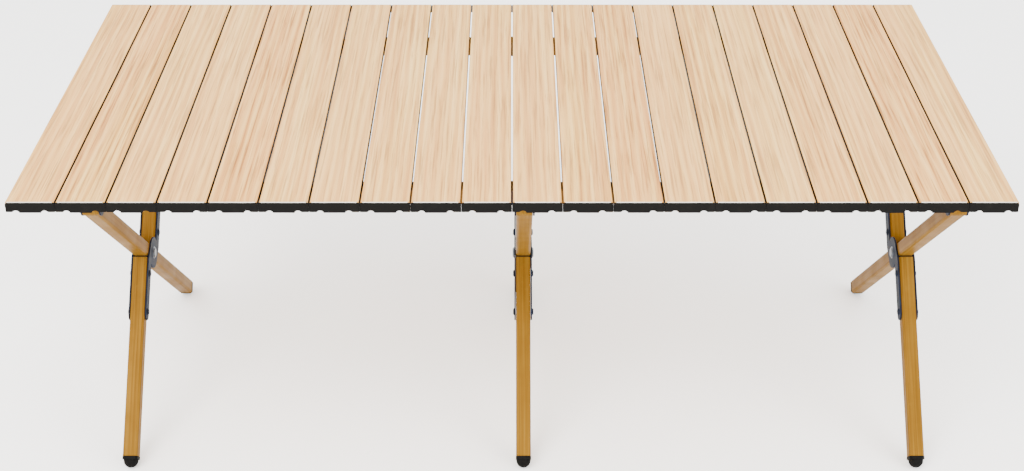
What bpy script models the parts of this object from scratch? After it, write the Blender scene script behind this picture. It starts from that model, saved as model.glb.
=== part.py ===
# Portable picnic table with a roll-up slat top on a folding frame of three
# crossed leg pairs. Metres, +Z up, origin on the floor under the middle of
# the top. The long side runs along X, the front edge is at -Y.
import math

import bmesh
import bpy
from mathutils import Matrix, Vector

# ---------------------------------------------------------------- dimensions
TOP_LENGTH = 1.200          # along X
TOP_DEPTH = 0.600           # along Y
TOP_HEIGHT = 0.450          # upper face of the slats
SLATS = 20
PITCH = TOP_LENGTH / SLATS
SLAT_GAP = 0.0022
SLAT_THICK = 0.0138         # at the rib that rests on the rails
SLAT_SIDE = 0.0114          # either side of the rib
RIB_W = 0.028
GROOVE_X = 0.017            # grooves in the underside, beside the rib
GROOVE_R = 0.003
SLAT_WALL = 0.0011
SLAT_ROUND = 0.0012
CAP_THICK = 0.017           # closed end of a slat: flange and plug of its cap

CLEAR = 0.0003              # gap between pieces that touch

TUBE = 0.020                # square leg and rail tube
TUBE_WALL = 0.0015
TUBE_ROUND = 0.003

STATION_STEP = 0.5315       # between leg pairs
FRAME_X = 0.0155            # the frame sits a little off the top's middle
FRAME_Y = -0.0165
HALF_SPREAD = 0.2165        # hub to foot and hub to top pivot, along Y
TOP_PIVOT_Z = 0.405
FOOT_R = 0.010              # rounded rubber end; its centre is FOOT_R high
HUB_Z = (TOP_PIVOT_Z + FOOT_R) / 2
HALF_RISE = TOP_PIVOT_Z - HUB_Z
ARM = math.hypot(HALF_SPREAD, HALF_RISE)      # hub to either end of a leg
SLOPE_B = math.atan2(HALF_RISE, HALF_SPREAD)  # slope of the straight leg
OFFSET = TUBE + CLEAR       # split leg: each tube beside the straight one
ARM_A = math.sqrt(ARM ** 2 - OFFSET ** 2)
SLOPE_A = SLOPE_B + math.atan2(OFFSET, ARM_A)

PLATE_THICK = 0.002
PLATE_X = TUBE / 2 + CLEAR
PLATE_REACH = 0.100         # along the leg, each way from the hub
PLATE_HUB_R = 0.022
PLATE_HALF_W = 0.0085
RIVETS = (0.034, 0.088)     # from the hub along each tube
RIVET_R = 0.003
RIVET_HEAD_R = 0.0055
RIVET_HEAD_T = 0.0018
HUB_PIN_R = 0.004
HUB_HEAD_R = 0.0085
PLUG_T = 0.003              # closed end of a split tube

EYE_R = TUBE / 2
TOP_PIN_R = 0.003
RAIL_TOP_Z = TOP_HEIGHT - SLAT_THICK - CLEAR
RAIL_Z = RAIL_TOP_Z - TUBE / 2
BRACKET_REACH = 0.026       # station to rail pivot, along X
BRACKET_PLATE = 0.002
BRACKET_Y = TUBE / 2 + 0.0004
RAIL_PIN_R = 0.0025
HALF_RAIL = (STATION_STEP - 2 * BRACKET_REACH) / 2   # pivot to middle hinge
MID_DEPTH = 0.0032          # middle hinge below the rail's upper face
MID_PIN_R = 0.0014
MID_EYE_R = 0.003
MID_CUT = 0.038             # relief of the upper face beside the middle hinge
LEAF = 0.030

# ----------------------------------------------------------------- collections
for old in list(bpy.data.objects):
    bpy.data.objects.remove(old, do_unlink=True)

parts = bpy.data.collections.new("portable_picnic_table")
bpy.context.scene.collection.children.link(parts)


def material(name, colour, rough, metal):
    m = bpy.data.materials.new(name)
    m.use_nodes = True
    shader = m.node_tree.nodes["Principled BSDF"]
    shader.inputs["Base Color"].default_value = (*colour, 1)
    shader.inputs["Roughness"].default_value = rough
    shader.inputs["Metallic"].default_value = metal
    return m


# --------------------------------------------------------------- mesh helpers
def box(x0, x1, y0, y1, z0, z1, round_edges=0.0, along=None, segments=2):
    """A box as a mesh object; round_edges rounds the edges that run along an axis."""
    bm = bmesh.new()
    bmesh.ops.create_cube(bm, size=1.0)
    bmesh.ops.scale(bm, vec=(x1 - x0, y1 - y0, z1 - z0), verts=bm.verts)
    bmesh.ops.translate(
        bm, vec=((x0 + x1) / 2, (y0 + y1) / 2, (z0 + z1) / 2), verts=bm.verts
    )
    if round_edges:
        axis = "XYZ".index(along)
        edges = []
        for e in bm.edges:
            d = (e.verts[1].co - e.verts[0].co).normalized()
            if abs(d[axis]) > 0.99:
                edges.append(e)
        bmesh.ops.bevel(
            bm, geom=edges, offset=round_edges, segments=segments,
            affect="EDGES", profile=0.5,
        )
    return to_object(bm)


def cylinder(radius, start, end, sides=12, radius_end=None):
    bm = bmesh.new()
    a, b = Vector(start), Vector(end)
    bmesh.ops.create_cone(
        bm, cap_ends=True, segments=sides, radius1=radius,
        radius2=radius if radius_end is None else radius_end,
        depth=(b - a).length,
    )
    turn = (b - a).to_track_quat("Z", "Y").to_matrix().to_4x4()
    bmesh.ops.transform(
        bm, matrix=Matrix.Translation((a + b) / 2) @ turn, verts=bm.verts
    )
    return to_object(bm)


def to_object(bm):
    bmesh.ops.recalc_face_normals(bm, faces=bm.faces)
    mesh = bpy.data.meshes.new("shape")
    bm.to_mesh(mesh)
    bm.free()
    ob = bpy.data.objects.new("shape", mesh)
    bpy.context.scene.collection.objects.link(ob)
    return ob


def combine(ob, others, operation):
    for other in others:
        mod = ob.modifiers.new("join", "BOOLEAN")
        mod.operation = operation
        mod.solver = "EXACT"
        mod.object = other
        bpy.context.view_layer.objects.active = ob
        with bpy.context.temp_override(object=ob, active_object=ob):
            bpy.ops.object.modifier_apply(modifier=mod.name)
        used = other.data
        bpy.data.objects.remove(other, do_unlink=True)
        bpy.data.meshes.remove(used)
    return ob


def union(ob, *others):
    return combine(ob, others, "UNION")


def cut(ob, *others):
    return combine(ob, others, "DIFFERENCE")


def finish(ob, name):
    """Takes the shape's mesh as a named, smooth-shaded mesh that copies can share."""
    mesh = ob.data
    mesh.name = name
    bm = bmesh.new()
    bm.from_mesh(mesh)
    bmesh.ops.remove_doubles(bm, verts=bm.verts, dist=0.000002)
    bmesh.ops.triangulate(bm, faces=bm.faces)
    bm.to_mesh(mesh)
    bm.free()
    mesh.shade_smooth()
    mesh.set_sharp_from_angle(angle=math.radians(35))
    bpy.data.objects.remove(ob, do_unlink=True)
    return mesh


def place(name, mesh, parent, mat, turn=None):
    ob = bpy.data.objects.new(name, mesh)
    ob.parent = parent
    if turn:
        ob.rotation_euler = turn
    if not mesh.materials:
        mesh.materials.append(None)
    ob.material_slots[0].link = "OBJECT"
    ob.material_slots[0].material = mat
    parts.objects.link(ob)
    return ob


def pivot(name, location, tilt=0.0):
    """An empty on a joint's axis; tilt turns it about X."""
    e = bpy.data.objects.new(name, None)
    e.empty_display_size = 0.03
    e.location = location
    e.rotation_euler = (tilt, 0, 0)
    parts.objects.link(e)
    return e


# ---------------------------------------------------------------- tube shapes
def tube(z0, z1, eye=False, y=0.0, holes=(), low_plug=False):
    """Square tube along Z. Its upper end is closed by a plug, or by a rounded eye, and its lower end is open unless it has a plug too. Holes run along X."""
    h = TUBE / 2
    ob = box(-h, h, y - h, y + h, z0, z1, TUBE_ROUND, "Z")
    inner = h - TUBE_WALL
    end = z1 - EYE_R - 0.002 if eye else z1 - PLUG_T
    start = z0 + PLUG_T if low_plug else z0 - 0.01
    ob = cut(ob, box(-inner, inner, y - inner, y + inner, start, end))
    if eye:
        ob = union(ob, cylinder(EYE_R, (-h, y, z1), (h, y, z1), 16))
    for z, r in holes:
        ob = cut(ob, cylinder(r, (-h - 0.01, y, z), (h + 0.01, y, z), 10))
    return ob


def pin(y, z, r, head_r, head_t):
    """A pin along X through both plates, with a low head on each side."""
    face = PLATE_X + PLATE_THICK + 0.0001
    ob = cylinder(r, (-face - head_t / 2, y, z), (face + head_t / 2, y, z), 10)
    for s in (-1, 1):
        ob = union(
            ob,
            cylinder(head_r, (s * face, y, z), (s * (face + head_t), y, z), 14,
                     head_r * 0.7),
        )
    return ob


# ------------------------------------------------------------------ the slats
half = (PITCH - SLAT_GAP) / 2
mid_x = -PITCH / 2           # a slat's origin is its hinge line at the right gap
end_y = TOP_DEPTH / 2
slat = box(mid_x - half, mid_x + half, -end_y, end_y, -SLAT_SIDE, 0,
           SLAT_ROUND, "Y", 1)
slat = union(slat, box(mid_x - RIB_W / 2, mid_x + RIB_W / 2, -end_y, end_y,
                       -SLAT_THICK, -SLAT_SIDE + 0.002))
for s in (-1, 1):
    x = mid_x + s * GROOVE_X
    slat = cut(slat, cylinder(GROOVE_R, (x, -end_y - 0.01, -0.0106),
                              (x, end_y + 0.01, -0.0106), 8))
in_y = end_y - CAP_THICK
t = SLAT_WALL
hollow = box(mid_x - half + t, mid_x + half - t, -in_y, in_y, -0.0065, -t)
hollow = union(hollow, box(mid_x - RIB_W / 2 + t, mid_x + RIB_W / 2 - t,
                           -in_y, in_y, -SLAT_THICK + t, -0.006))
for s in (-1, 1):
    x0, x1 = sorted((mid_x + s * (GROOVE_X + GROOVE_R + t), mid_x + s * (half - t)))
    hollow = union(hollow, box(x0, x1, -in_y, in_y, -SLAT_SIDE + t, -0.006))
slat = cut(slat, hollow)
slat = cut(slat, box(mid_x - 0.002, mid_x + 0.002, -0.006, 0.006,
                     -0.02, -SLAT_THICK / 2))       # drain slot in the underside
slat_mesh = finish(slat, "slat")
oak = material("oak_effect_slat", (0.76, 0.60, 0.43), 0.42, 0.0)
for n in range(1, SLATS + 1):
    hinge = pivot(
        f"slat_{n:02d}_hinge", (-TOP_LENGTH / 2 + n * PITCH, 0, TOP_HEIGHT)
    )
    place(f"slat_{n:02d}", slat_mesh, hinge, oak)

# ------------------------------------------------------------------- leg shapes
# Leg A is split: its lower tube lies in front of the straight leg and its
# upper tube behind it, joined by two side plates. Local frame of leg A:
# origin at the top pivot, +Z up along the tubes, +Y towards the rear and down.
hub_y, hub_z = -OFFSET, -ARM_A
low_y = -2 * OFFSET
foot_z = -2 * ARM_A
TUBE_END = 0.0055            # tube end above the centre of the foot's dome
BUTT = TUBE / 2 + 0.0012     # free end of each split tube beside the straight leg

low_end = hub_z - BUTT
lower_mesh = finish(
    tube(foot_z + TUBE_END, low_end, y=low_y),
    "leg_a_lower_tube",
)
up_end = hub_z + BUTT
upper_mesh = finish(
    tube(up_end, 0.0, eye=True, low_plug=True,
         holes=[(hub_z + RIVETS[0], RIVET_R), (0.0, TOP_PIN_R + CLEAR)]),
    "leg_a_upper_tube",
)


def plate_outline():
    """Half of the side plate's outline round the hub, then the same turned half round: a tab on one tube, a round boss, a tab on the other."""
    w, tip = PLATE_HALF_W, PLATE_REACH - PLATE_HALF_W
    pts = []
    for k in range(9):
        t = math.pi * k / 8
        pts.append((OFFSET + w * math.cos(t), tip + w * math.sin(t)))
    start = math.acos((OFFSET - w) / PLATE_HUB_R)
    stop = math.radians(172)
    for k in range(9):
        t = start + (stop - start) * k / 8
        pts.append((PLATE_HUB_R * math.cos(t), PLATE_HUB_R * math.sin(t)))
    pts.append((-OFFSET - w, -0.013))
    return pts + [(-y, -z) for y, z in pts]


def side_plate(s):
    curve = bpy.data.curves.new("plate", "CURVE")
    curve.dimensions = "2D"
    curve.fill_mode = "BOTH"
    curve.extrude = PLATE_THICK / 2
    hole = [
        ((HUB_PIN_R + CLEAR) * math.cos(math.tau * k / 10),
         (HUB_PIN_R + CLEAR) * math.sin(math.tau * k / 10))
        for k in range(10)
    ]
    for pts in (plate_outline(), hole):
        spline = curve.splines.new("POLY")
        spline.points.add(len(pts) - 1)
        for point, (y, z) in zip(spline.points, pts):
            point.co = (y, z, 0, 1)
        spline.use_cyclic_u = True
    flat = bpy.data.objects.new("plate", curve)
    bpy.context.scene.collection.objects.link(flat)
    flat.matrix_world = Matrix((
        (0, 0, 1, s * (PLATE_X + PLATE_THICK / 2)),
        (1, 0, 0, hub_y),
        (0, 1, 0, hub_z),
        (0, 0, 0, 1),
    ))
    depsgraph = bpy.context.evaluated_depsgraph_get()
    bm = bmesh.new()
    bm.from_mesh(bpy.data.meshes.new_from_object(flat.evaluated_get(depsgraph)))
    bmesh.ops.remove_doubles(bm, verts=bm.verts, dist=0.00001)
    bmesh.ops.transform(bm, matrix=flat.matrix_world, verts=bm.verts)
    bpy.data.objects.remove(flat, do_unlink=True)
    ob = to_object(bm)
    rivets = [(0.0, hub_z + r) for r in RIVETS] + [(low_y, hub_z - r) for r in RIVETS]
    face = s * (PLATE_X + PLATE_THICK)
    for y, z in rivets:      # heads of the rivets that fix the plate
        ob = union(ob, cylinder(RIVET_HEAD_R, (face - s * 0.0003, y, z),
                                (face + s * RIVET_HEAD_T, y, z), 10,
                                RIVET_HEAD_R * 0.65))
    return ob


plate_meshes = {
    "left": finish(side_plate(-1), "leg_a_plate_left"),
    "right": finish(side_plate(1), "leg_a_plate_right"),
}
pin_mesh = finish(pin(hub_y, hub_z, HUB_PIN_R, HUB_HEAD_R, 0.0022), "leg_a_hub_pin")


def rubber_foot(y, z, tube_end):
    """Collar over the tube's end, a round button below it and a plug inside."""
    h, i = TUBE / 2, TUBE / 2 - TUBE_WALL - CLEAR
    top = z + tube_end - CLEAR
    ob = box(-h - 0.0003, h + 0.0003, y - h - 0.0003, y + h + 0.0003,
             top - 0.0042, top, TUBE_ROUND, "Z", 1)
    bm = bmesh.new()
    bmesh.ops.create_uvsphere(bm, u_segments=14, v_segments=8, radius=FOOT_R)
    bmesh.ops.translate(bm, vec=(0, y, z), verts=bm.verts)
    ball = to_object(bm)
    ball = cut(ball, box(-0.02, 0.02, y - 0.02, y + 0.02, top - 0.002, z + 0.03))
    return union(ob, ball, box(-i, i, y - i, y + i, top - 0.001, top + 0.016))


foot_a_mesh = finish(rubber_foot(low_y, foot_z, TUBE_END), "leg_a_foot")

# Leg B is one straight tube. Local frame: origin at the hub, +Z up along it.
tube_b_mesh = finish(
    tube(-ARM + TUBE_END, ARM, eye=True,
         holes=[(0.0, HUB_PIN_R + CLEAR), (ARM, TOP_PIN_R + CLEAR)]),
    "leg_b_tube",
)
foot_b_mesh = finish(rubber_foot(0.0, -ARM, TUBE_END), "leg_b_foot")

# -------------------------------------------------------------- top brackets
# Upright bracket on a leg's top pivot, local origin at that pivot. Its cheeks
# hold the leg's pin, its long side plates hold the rails' pins.


def bracket(arms):
    t, py = BRACKET_PLATE, BRACKET_Y
    cx = TUBE / 2 + 0.0004
    z_top = RAIL_TOP_Z - TOP_PIVOT_Z
    z_low = z_top - TUBE
    z_rail = RAIL_Z - TOP_PIVOT_Z
    ob = box(-cx - t, cx + t, -py - t, py + t, z_low, z_top)
    for s in (-1, 1):
        x0, x1 = sorted((s * cx, s * (cx + t)))
        ob = union(ob, box(x0, x1, -EYE_R, EYE_R, -0.002, z_low + 0.002))
        ob = union(ob, cylinder(EYE_R, (x0, 0, 0), (x1, 0, 0), 14))
        x2, x3 = sorted((s * (cx + t - 0.0005), s * (cx + t + 0.0015)))
        ob = union(ob, cylinder(0.0052, (x2, 0, 0), (x3, 0, 0), 10))
    ob = union(ob, cylinder(TOP_PIN_R, (-cx - 0.001, 0, 0), (cx + 0.001, 0, 0), 8))
    for arm in arms:
        x = arm * BRACKET_REACH
        tip = arm * (BRACKET_REACH + 0.010)
        x0, x1 = sorted((arm * cx, tip))
        for s in (-1, 1):
            y0, y1 = sorted((s * py, s * (py + t)))
            ob = union(ob, box(x0, x1, y0, y1, z_low, z_top))
            y2, y3 = sorted((s * (py + t - 0.0005), s * (py + t + 0.0012)))
            ob = union(ob, cylinder(0.0045, (x, y2, z_rail), (x, y3, z_rail), 8))
        ob = union(ob, cylinder(RAIL_PIN_R, (x, -py - 0.001, z_rail),
                                (x, py + 0.001, z_rail), 8))
    return ob


bracket_meshes = {
    "left": finish(bracket((1,)), "bracket_end_left"),
    "centre": finish(bracket((-1, 1)), "bracket_middle"),
    "right": finish(bracket((-1,)), "bracket_end_right"),
}

# -------------------------------------------------------------------- rails
# Half rail, local origin at its bracket pivot, +X towards the middle hinge.
mid_z = TUBE / 2 - MID_DEPTH


def half_rail(inner):
    h, i = TUBE / 2, TUBE / 2 - TUBE_WALL
    end = HALF_RAIL - 0.0034
    ob = box(0, end, -h, h, -h, h)
    ob = union(ob, cylinder(EYE_R, (0, -h, 0), (0, h, 0), 16))
    ob = cut(ob, box(EYE_R + 0.004, HALF_RAIL, -i, i, -i, h - MID_DEPTH - 0.002))
    ob = cut(ob, box(HALF_RAIL - MID_CUT, HALF_RAIL + 0.01, -h - 0.01, h + 0.01,
                     mid_z - 0.0002, h + 0.01))
    ob = cut(ob, cylinder(RAIL_PIN_R + CLEAR, (0, -h - 0.01, 0), (0, h + 0.01, 0), 10))
    for s in (-1, 1):
        if inner:
            y0, y1 = sorted((s * (h - 0.0008), s * (h + 0.0015)))
        else:
            y0, y1 = sorted((s * (h + 0.0018), s * (h + 0.0034)))
            c0, c1 = sorted((s * (h - 0.0008), s * (h + 0.0028)))
            ob = union(ob, box(HALF_RAIL - LEAF - 0.003, HALF_RAIL - 0.012, c0, c1,
                               -0.003, mid_z - 0.0012))
        if inner:
            leaf = box(HALF_RAIL - LEAF, HALF_RAIL, y0, y1, -0.004, mid_z - 0.00085)
            eye = cylinder(MID_EYE_R, (HALF_RAIL, y0, mid_z),
                           (HALF_RAIL, y1, mid_z), 10)
            leaf = union(leaf, eye)
        else:
            leaf = box(HALF_RAIL - LEAF, HALF_RAIL + MID_EYE_R, y0, y1,
                       -0.004, mid_z + 0.0026)
        ob = union(ob, leaf)
    if not inner:
        ob = cut(ob, cylinder(MID_PIN_R + CLEAR, (HALF_RAIL, -0.02, mid_z),
                              (HALF_RAIL, 0.02, mid_z), 8))
    if inner:
        reach = h + 0.0042
        ob = union(ob, cylinder(MID_PIN_R, (HALF_RAIL, -reach, mid_z),
                                (HALF_RAIL, reach, mid_z), 8))
    return ob


rail_meshes = {
    "inner": finish(half_rail(True), "half_rail_inner"),
    "outer": finish(half_rail(False), "half_rail_outer"),
}

# ------------------------------------------------------------------ placement
tube_mat = material("gold_tube", (0.62, 0.40, 0.17), 0.38, 0.35)
plate_mat = material("black_steel_plate", (0.05, 0.055, 0.065), 0.35, 0.6)
rivet_mat = material("dark_rivet", (0.10, 0.105, 0.115), 0.35, 0.8)
rubber_mat = material("black_rubber", (0.02, 0.02, 0.02), 0.8, 0.0)
rail_mat = material("brown_rail", (0.42, 0.29, 0.16), 0.45, 0.2)

hub_line_y = FRAME_Y
stations = {
    "left": FRAME_X - STATION_STEP,
    "centre": FRAME_X,
    "right": FRAME_X + STATION_STEP,
}
TILT_A = -(math.pi / 2 - SLOPE_A)
TILT_B = math.pi / 2 - SLOPE_B

for side, x in stations.items():
    a = pivot(f"leg_a_{side}_top_pivot",
              (x, hub_line_y + HALF_SPREAD, TOP_PIVOT_Z), TILT_A)
    place(f"leg_a_{side}_lower_tube", lower_mesh, a, tube_mat)
    place(f"leg_a_{side}_upper_tube", upper_mesh, a, tube_mat)
    for hand, mesh in plate_meshes.items():
        place(f"leg_a_{side}_plate_{hand}", mesh, a, plate_mat)
    place(f"leg_a_{side}_hub_pin", pin_mesh, a, rivet_mat)
    place(f"leg_a_{side}_foot", foot_a_mesh, a, rubber_mat)
    b = pivot(f"leg_b_{side}_hub", (x, hub_line_y, HUB_Z), TILT_B)
    place(f"leg_b_{side}_tube", tube_b_mesh, b, tube_mat)
    place(f"leg_b_{side}_foot", foot_b_mesh, b, rubber_mat)
    for edge, s in (("rear", 1), ("front", -1)):
        k = pivot(f"bracket_{edge}_{side}_pivot",
                  (x, hub_line_y + s * HALF_SPREAD, TOP_PIVOT_Z))
        place(f"bracket_{edge}_{side}", bracket_meshes[side], k, plate_mat)

for edge, s in (("rear", 1), ("front", -1)):
    y = hub_line_y + s * HALF_SPREAD
    for side, d in (("left", -1), ("right", 1)):
        inner = pivot(f"rail_{edge}_{side}_inner_pivot",
                      (FRAME_X + d * BRACKET_REACH, y, RAIL_Z))
        place(f"rail_{edge}_{side}_inner", rail_meshes["inner"], inner, rail_mat,
              None if d > 0 else (0, 0, math.pi))
        outer = pivot(f"rail_{edge}_{side}_outer_pivot",
                      (FRAME_X + d * (STATION_STEP - BRACKET_REACH), y, RAIL_Z))
        place(f"rail_{edge}_{side}_outer", rail_meshes["outer"], outer, rail_mat,
              None if d < 0 else (0, 0, math.pi))
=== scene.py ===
import math

import bmesh
import bpy
from mathutils import Matrix, Vector


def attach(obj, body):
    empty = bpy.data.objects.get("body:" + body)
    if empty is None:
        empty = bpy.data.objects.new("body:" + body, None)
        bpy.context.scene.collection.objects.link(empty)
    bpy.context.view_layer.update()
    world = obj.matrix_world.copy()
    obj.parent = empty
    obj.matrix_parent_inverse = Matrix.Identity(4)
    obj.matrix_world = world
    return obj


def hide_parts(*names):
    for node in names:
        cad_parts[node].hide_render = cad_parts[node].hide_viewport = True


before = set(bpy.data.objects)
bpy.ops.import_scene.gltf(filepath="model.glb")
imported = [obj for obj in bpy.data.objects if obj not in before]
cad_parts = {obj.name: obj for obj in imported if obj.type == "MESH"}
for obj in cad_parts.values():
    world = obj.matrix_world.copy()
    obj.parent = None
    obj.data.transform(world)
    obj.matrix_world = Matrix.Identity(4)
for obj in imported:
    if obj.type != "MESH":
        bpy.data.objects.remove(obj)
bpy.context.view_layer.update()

scene = bpy.context.scene

# ------------------------------------------------------------------ dimensions
SLATS = 20
PITCH = 0.060
HALF_W = 0.0289
TOP_Z = 0.450
HALF_Y = 0.300
SIDE_D = 0.0114
RIB_D = 0.0138
RIB_W = 0.028
GROOVE_X = 0.017
GROOVE_R = 0.003
CAP_T = 0.0032
CAP_HALF = 0.0299
CAP_SIDE_D = 0.0127
NOTCH_W = 0.0040
NOTCH_H = 0.0021
TILT_A = (0.69039, 0.72343)
TILT_B = (-0.73880, 0.67392)
DARK_END_FROM = 0.12605


# ------------------------------------------------------------- material helpers
class Nodes:
    """A short way to write a procedural material."""

    def __init__(self, name):
        self.mat = bpy.data.materials.new(name)
        self.mat.use_nodes = True
        self.tree = self.mat.node_tree
        self.shader = self.tree.nodes["Principled BSDF"]
        self.coords = self.tree.nodes.new("ShaderNodeTexCoord").outputs["Object"]

    def link(self, a, b):
        self.tree.links.new(a, b)

    def put(self, value, socket):
        if hasattr(value, "is_output"):
            self.link(value, socket)
        else:
            socket.default_value = value

    def scaled(self, x, y, z, shift=(0, 0, 0)):
        n = self.tree.nodes.new("ShaderNodeMapping")
        n.inputs["Scale"].default_value = (x, y, z)
        n.inputs["Location"].default_value = shift
        self.link(self.coords, n.inputs["Vector"])
        return n.outputs["Vector"]

    def noise(self, vector, scale=1.0, detail=4.0, rough=0.5, distortion=0.0):
        n = self.tree.nodes.new("ShaderNodeTexNoise")
        self.link(vector, n.inputs["Vector"])
        n.inputs["Scale"].default_value = scale
        n.inputs["Detail"].default_value = detail
        n.inputs["Roughness"].default_value = rough
        n.inputs["Distortion"].default_value = distortion
        return n.outputs["Fac"]

    def math(self, op, a, b=0.0):
        n = self.tree.nodes.new("ShaderNodeMath")
        n.operation = op
        self.put(a, n.inputs[0])
        self.put(b, n.inputs[1])
        return n.outputs[0]

    def ramp(self, fac, *stops):
        n = self.tree.nodes.new("ShaderNodeValToRGB")
        self.link(fac, n.inputs["Fac"])
        els = n.color_ramp.elements
        while len(els) < len(stops):
            els.new(0.5)
        for el, (pos, col) in zip(els, stops):
            el.position = pos
            el.color = (*col, 1) if isinstance(col, tuple) else (col, col, col, 1)
        return n.outputs["Color"]

    def mix(self, fac, a, b, blend="MIX"):
        n = self.tree.nodes.new("ShaderNodeMix")
        n.data_type = "RGBA"
        n.blend_type = blend
        self.put(fac, n.inputs[0])
        self.put((*a, 1) if isinstance(a, tuple) else a, n.inputs[6])
        self.put((*b, 1) if isinstance(b, tuple) else b, n.inputs[7])
        return n.outputs[2]

    def split(self):
        n = self.tree.nodes.new("ShaderNodeSeparateXYZ")
        self.link(self.coords, n.inputs[0])
        return n.outputs

    def bump(self, height, strength, distance):
        n = self.tree.nodes.new("ShaderNodeBump")
        n.inputs["Strength"].default_value = strength
        n.inputs["Distance"].default_value = distance
        self.link(height, n.inputs["Height"])
        self.link(n.outputs["Normal"], self.shader.inputs["Normal"])

    def set(self, **values):
        names = {"color": "Base Color", "rough": "Roughness", "metal": "Metallic",
                 "coat": "Coat Weight", "coat_rough": "Coat Roughness",
                 "spec": "Specular IOR Level"}
        for key, value in values.items():
            if isinstance(value, tuple):
                value = (*value, 1)
            self.put(value, self.shader.inputs[names[key]])
        return self.mat


def oak():
    """Printed oak film: fine fibres along the slat, soft figure, and a tint of its own for each slat; painted
    shade makes the long side faces between slats near black.
    """
    n = Nodes("oak_film")
    x, y, z = n.split()
    number = n.math("FLOOR", n.math("DIVIDE", n.math("ADD", x, 0.6), PITCH))
    white = n.tree.nodes.new("ShaderNodeTexWhiteNoise")
    white.noise_dimensions = "1D"
    n.link(number, white.inputs["W"])
    own = white.outputs["Value"]
    fibres = n.noise(n.scaled(360, 7, 360), detail=5, rough=0.62)
    streaks = n.noise(n.scaled(130, 2.4, 130, (3, 7, 1)), detail=4, rough=0.55, distortion=0.35)
    broad = n.noise(n.scaled(26, 1.7, 26, (9, 2, 4)), detail=3, rough=0.5, distortion=0.6)
    rings = n.tree.nodes.new("ShaderNodeTexWave")
    rings.wave_type = "BANDS"
    rings.bands_direction = "X"
    n.link(n.scaled(34, 2.3, 34, (0.4, 0.2, 0)), rings.inputs["Vector"])
    rings.inputs["Scale"].default_value = 0.9
    rings.inputs["Distortion"].default_value = 7.0
    rings.inputs["Detail"].default_value = 2.5
    rings.inputs["Detail Scale"].default_value = 0.8
    base = n.ramp(streaks, (0.32, (0.500, 0.215, 0.045)), (0.50, (0.720, 0.390, 0.110)),
                  (0.68, (0.850, 0.560, 0.220)))
    base = n.mix(0.40, base, n.ramp(rings.outputs["Fac"], (0.10, (0.47, 0.195, 0.040)),
                                    (0.55, (0.72, 0.395, 0.115)), (0.95, (0.85, 0.565, 0.230))))
    pink = n.ramp(broad, (0.42, 0.0), (0.66, 1.0))
    base = n.mix(n.math("MULTIPLY", pink, 0.34), base, (0.76, 0.355, 0.130))
    straw = n.ramp(broad, (0.26, 1.0), (0.44, 0.0))
    base = n.mix(n.math("MULTIPLY", straw, 0.30), base, (0.73, 0.465, 0.095))
    base = n.mix(0.85, base, n.ramp(fibres, (0.37, (0.50, 0.40, 0.29)), (0.50, 1.0)), "MULTIPLY")
    base = n.mix(n.math("MULTIPLY", own, 0.24), base, (0.88, 0.61, 0.26))
    facing = n.tree.nodes.new("ShaderNodeSeparateXYZ")
    n.link(n.tree.nodes.new("ShaderNodeTexCoord").outputs["Normal"], facing.inputs[0])
    base = n.mix(1.0, base, (0.78, 0.745, 0.64), "MULTIPLY")
    # painted shade: faces turned along x, the slats' long sides in the gaps between slats, are coloured near
    # black
    side = n.ramp(n.math("ABSOLUTE", facing.outputs[0]), (0.80, 0.0), (0.97, 1.0))
    base = n.mix(side, base, (0.022, 0.011, 0.004))
    n.bump(fibres, 0.16, 0.0004)
    return n.set(color=base, rough=n.ramp(fibres, (0.3, 0.58), (0.7, 0.46)), spec=0.15)


def bare_edge():
    n = Nodes("bare_aluminium_edge")
    f = n.noise(n.scaled(900, 60, 900), detail=3)
    n.bump(f, 0.2, 0.0002)
    return n.set(color=n.ramp(f, (0.3, (0.62, 0.58, 0.50)), (0.7, (0.80, 0.76, 0.68))),
                 rough=0.38, metal=0.7)


def moulded(name, dark, light, rough, grain=1400):
    """Black moulded plastic or rubber: fine texture, dust in it, and paler handling marks."""
    n = Nodes(name)
    f = n.noise(n.scaled(grain, grain, grain), detail=3, rough=0.6)
    marks = n.noise(n.scaled(60, 60, 60, (2, 5, 3)), detail=5, rough=0.6)
    colour = n.ramp(f, (0.3, dark), (0.75, light))
    colour = n.mix(n.math("MULTIPLY", n.ramp(marks, (0.55, 0.0), (0.8, 1.0)), 0.35),
                   colour, tuple(v * 2.2 for v in light))
    n.bump(f, 0.25, 0.0003)
    return n.set(color=colour, rough=n.ramp(marks, (0.35, rough - 0.08), (0.7, rough + 0.08)),
                 spec=0.035)


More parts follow.
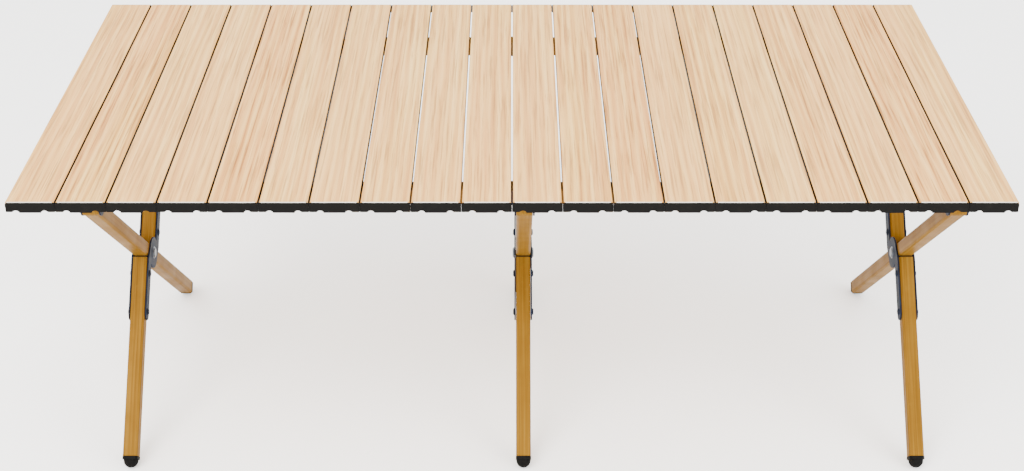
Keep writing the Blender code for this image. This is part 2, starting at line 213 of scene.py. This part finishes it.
def gold(name, low, mid, high, tilt=None, dark_end=False):
    """Gold-brown coated aluminium with fine draw lines and rubbed places; with the last flag set, a lower
    tube's end is coloured near black.
    """
    n = Nodes(name)
    if tilt:
        x, y, z = n.split()
        c, s = tilt
        run = n.math("ADD", n.math("MULTIPLY", y, c), n.math("MULTIPLY", z, s))
        over = n.math("SUBTRACT", n.math("MULTIPLY", z, c), n.math("MULTIPLY", y, s))
        drawn = n.tree.nodes.new("ShaderNodeCombineXYZ")
        for socket, value, k in zip(drawn.inputs, (x, over, run), (420, 420, 5)):
            n.link(n.math("MULTIPLY", value, k), socket)
        lines = n.noise(drawn.outputs[0], detail=4, rough=0.6)
    else:
        lines = n.noise(n.scaled(5, 420, 420), detail=4, rough=0.6)
    cloud = n.noise(n.scaled(22, 22, 22, (1, 4, 2)), detail=4, rough=0.55)
    speck = n.noise(n.scaled(700, 700, 700), detail=2)
    colour = n.ramp(lines, (0.28, low), (0.5, mid), (0.74, high))
    colour = n.mix(n.math("MULTIPLY", n.ramp(cloud, (0.40, 0.0), (0.72, 1.0)), 0.40), colour, low)
    rub = n.noise(n.scaled(95, 95, 18, (5, 2, 8)), detail=5, rough=0.65)
    colour = n.mix(n.math("MULTIPLY", n.ramp(rub, (0.62, 0.0), (0.76, 1.0)), 0.30), colour, high)
    # a lower tube's end, past a set distance along its run, is coloured near black
    if dark_end:
        colour = n.mix(n.math("GREATER_THAN", run, DARK_END_FROM), colour, (0.006, 0.005, 0.004))
    n.bump(speck, 0.05, 0.0001)
    return n.set(color=colour, rough=n.ramp(cloud, (0.3, 0.36), (0.75, 0.50)), metal=0.05,
                 spec=0.02)


def steel(name, dark, light, rough, metal):
    """Black-coated steel with a cool sheen and fine scuffs."""
    n = Nodes(name)
    scuff = n.noise(n.scaled(300, 40, 40, (5, 1, 2)), detail=5, rough=0.65, distortion=0.4)
    grain = n.noise(n.scaled(1100, 1100, 1100), detail=2)
    wear = n.noise(n.scaled(150, 150, 150, (7, 3, 6)), detail=6, rough=0.7)
    colour = n.ramp(scuff, (0.35, dark), (0.72, light))
    colour = n.mix(n.math("MULTIPLY", n.ramp(wear, (0.66, 0.0), (0.78, 1.0)), 0.35), colour,
                   tuple(v * 3.0 for v in light))
    n.bump(grain, 0.14, 0.0002)
    return n.set(color=colour, rough=n.ramp(scuff, (0.35, rough), (0.8, rough + 0.14)),
                 metal=metal, spec=0.03)


OAK = oak()
EDGE = bare_edge()
CAP = moulded("black_end_cap", (0.0015, 0.0014, 0.0013), (0.0050, 0.0046, 0.0040), 0.55)
RUBBER = moulded("black_rubber", (0.0015, 0.0014, 0.0013), (0.0045, 0.0042, 0.0038), 0.65, 900)
GOLD = (0.088, 0.038, 0.0030), (0.128, 0.061, 0.0055), (0.170, 0.088, 0.0110)
UPPER = gold("gold_brown_upper_tube", *GOLD, tilt=TILT_A)
LOWER = gold("gold_brown_lower_tube", *GOLD, tilt=TILT_A, dark_end=True)
STRAIGHT = gold("gold_brown_straight_tube", *GOLD, tilt=TILT_B)
# the rails get the gold tube colour darkened: gold tube colour plus painted shade for the rails under the top
RAIL_SHADED_GOLD = gold("brown_rail", (0.060, 0.026, 0.006), (0.100, 0.046, 0.010), (0.145, 0.072, 0.022))
PLATE = steel("black_steel_plate", (0.003, 0.004, 0.007), (0.012, 0.017, 0.032), 0.42, 0.02)
PIN = steel("dark_rivet", (0.04, 0.044, 0.050), (0.12, 0.13, 0.15), 0.26, 0.85)


# ----------------------------------------------------------------- mesh helpers
def piece(name, bm, mat, body, smooth=40):
    bmesh.ops.recalc_face_normals(bm, faces=bm.faces)
    mesh = bpy.data.meshes.new(name)
    bm.to_mesh(mesh)
    bm.free()
    mesh.materials.append(mat)
    mesh.shade_smooth()
    mesh.set_sharp_from_angle(angle=math.radians(smooth))
    ob = bpy.data.objects.new(name, mesh)
    scene.collection.objects.link(ob)
    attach(ob, body)
    return ob


def prism(outline, a, b, place):
    """An outline drawn out from a to b; place turns (u, v, along) into a point."""
    bm = bmesh.new()
    low = [bm.verts.new(place(u, v, a)) for u, v in outline]
    high = [bm.verts.new(place(u, v, b)) for u, v in outline]
    n = len(outline)
    bm.faces.new(low[::-1])
    bm.faces.new(high)
    for i in range(n):
        bm.faces.new((low[i], low[(i + 1) % n], high[(i + 1) % n], high[i]))
    return bm


def arc(cx, cy, r, a0, a1, steps):
    return [
        (cx + r * math.cos(math.radians(a0 + (a1 - a0) * k / steps)),
         cy + r * math.sin(math.radians(a0 + (a1 - a0) * k / steps)))
        for k in range(steps + 1)
    ]


def slat_outline(w, top, side, rib, groove_r, r_top=0.0016, r=0.0012):
    """Half-turn round a slat's section, u across and v up, with the rib and both grooves below."""
    pts = arc(w - r_top, top - r_top, r_top, 0, 90, 5)
    pts += arc(-w + r_top, top - r_top, r_top, 90, 180, 5)
    pts += arc(-w + r, -side + r, r, 180, 270, 4)
    gz = -0.0106
    dip = math.degrees(math.asin((gz + side) / groove_r)) if side > -gz else 0.0
    pts += arc(-GROOVE_X, gz, groove_r, 180 + dip, 8, 8)
    pts += arc(-RIB_W / 2 + r, -rib + r, r, 180, 270, 4)
    pts += arc(RIB_W / 2 - r, -rib + r, r, 270, 360, 4)
    pts += arc(GROOVE_X, gz, groove_r, 172, -dip, 8)
    pts += arc(w - r, -side + r, r, 270, 360, 4)
    return pts


def cap_outline(left, right, top, side, rib, r_top=0.0018, r=0.0008):
    """An end cap's section: nearly as deep at its sides as at its rib, with two shallow notches."""
    bow = (NOTCH_W ** 2 + NOTCH_H ** 2) / (2 * NOTCH_H)
    half = math.degrees(math.asin(NOTCH_W / bow))
    cz = -side + NOTCH_H - bow
    rib_w = GROOVE_X - NOTCH_W
    pts = arc(right - r_top, top - r_top, r_top, 0, 90, 4)
    pts += arc(left + r_top, top - r_top, r_top, 90, 180, 4)
    pts += arc(left + r, -side + r, r, 180, 270, 3)
    pts += arc(-GROOVE_X, cz, bow, 90 + half, 90 - half, 7)
    pts += arc(-rib_w + r, -rib + r, r, 190, 270, 3)
    pts += arc(rib_w - r, -rib + r, r, 270, 350, 3)
    pts += arc(GROOVE_X, cz, bow, 90 + half, 90 - half, 7)
    pts += arc(right - r, -side + r, r, 270, 360, 3)
    return pts


# ------------------------------------------------------------------------- slats
for k in range(1, SLATS + 1):
    x0 = -0.6 + PITCH * (k - 0.5)
    body = f"slat_{k:02d}"

    def at(u, v, y, x0=x0):
        return (x0 + u, y, TOP_Z + v)

    outline = slat_outline(HALF_W, 0.0, SIDE_D, RIB_D - 0.0002, GROOVE_R)
    end = HALF_Y - CAP_T
    slat = piece(f"{body}_board", prism(outline, -end, end, at), OAK, body)
    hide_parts(body)
    for side, word in ((-1, "front"), (1, "rear")):
        a, b = sorted((side * (end + 0.0002), side * (HALF_Y - 0.0001)))
        shape = cap_outline(-CAP_HALF if k > 1 else -HALF_W + 0.0001,
                            CAP_HALF if k < SLATS else HALF_W - 0.0001,
                            -0.0010, CAP_SIDE_D, RIB_D - 0.0001)
        cap = piece(f"{body}_cap_{word}", prism(shape, a, b, at), CAP, body)
        bevel = cap.modifiers.new("soft", "BEVEL")
        bevel.width = 0.0003
        bevel.segments = 2
        bevel.limit_method = "ANGLE"
        bevel.angle_limit = math.radians(60)
        # bright end of the extrusion above the cap
        bar = bmesh.new()
        bmesh.ops.create_cube(bar, size=1.0)
        c, d = sorted((side * (end - 0.0002), side * (end + 0.0014)))
        bmesh.ops.scale(bar, vec=(2 * HALF_W - 0.0044, d - c, 0.0008), verts=bar.verts)
        bmesh.ops.translate(bar, vec=(x0, (c + d) / 2, TOP_Z - 0.00052), verts=bar.verts)
        bmesh.ops.bevel(bar, geom=list(bar.edges), offset=0.0002, segments=2,
                        affect="EDGES", profile=0.5)
        lip = piece(f"{body}_lip_{word}", bar, EDGE, body)

# -------------------------------------------------------------- frame materials
for name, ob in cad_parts.items():
    if name.startswith("slat"):
        continue
    if name.endswith("_foot"):
        mat = RUBBER
    elif name.endswith("_pin"):
        mat = PIN
    elif "plate" in name or name.startswith("bracket"):
        mat = PLATE
    elif name.startswith("rail"):
        mat = RAIL_SHADED_GOLD
    elif name.endswith("_lower_tube"):
        mat = LOWER
    elif name.startswith("leg_a"):
        mat = UPPER
    else:
        mat = STRAIGHT
    if not ob.material_slots:
        ob.data.materials.append(mat)
    for s in ob.material_slots:
        s.material = mat

# ------------------------------------------------------------------ floor, light
bm = bmesh.new()
bmesh.ops.create_grid(bm, x_segments=1, y_segments=1, size=8.0)
mesh = bpy.data.meshes.new("floor")
bm.to_mesh(mesh)
bm.free()
floor = bpy.data.objects.new("floor", mesh)
scene.collection.objects.link(floor)
f = Nodes("pale_floor")
grain = f.noise(f.scaled(3, 3, 3), detail=3)
mesh.materials.append(f.set(color=f.ramp(grain, (0.3, (0.94, 0.94, 0.935)),
                                         (0.7, (0.96, 0.96, 0.955))), rough=0.9, spec=0.1))

world = bpy.data.worlds.new("studio")
world.use_nodes = True
back = world.node_tree.nodes["Background"]
back.inputs["Color"].default_value = (1.0, 0.99, 0.975, 1)
back.inputs["Strength"].default_value = 3.4
scene.world = world


def area(name, place, aim, size, power, colour=(1, 1, 1)):
    light = bpy.data.lights.new(name, "AREA")
    light.size = size
    light.energy = power
    light.color = colour
    ob = bpy.data.objects.new(name, light)
    ob.location = place
    ob.rotation_euler = (Vector(aim) - Vector(place)).to_track_quat("-Z", "Y").to_euler()
    scene.collection.objects.link(ob)


area("key", (-1.6, -2.2, 2.8), (0, 0, 0.3), 2.2, 215, (1.0, 0.985, 0.96))
area("fill", (2.4, -1.8, 1.6), (0, 0, 0.2), 2.0, 92)
area("front", (0.0, -3.2, 0.7), (0, 0, 0.2), 1.8, 76)

# ----------------------------------------------------------------------- camera
data = bpy.data.cameras.new("camera")
data.sensor_fit = "HORIZONTAL"
data.sensor_width = 36.0
data.lens = 1611 / 1024 * 36.0
camera = bpy.data.objects.new("camera", data)
camera.location = (0.0, -1.948, 1.394)
camera.rotation_euler = (math.radians(90 - 30.96), 0, 0)
scene.collection.objects.link(camera)
scene.camera = camera
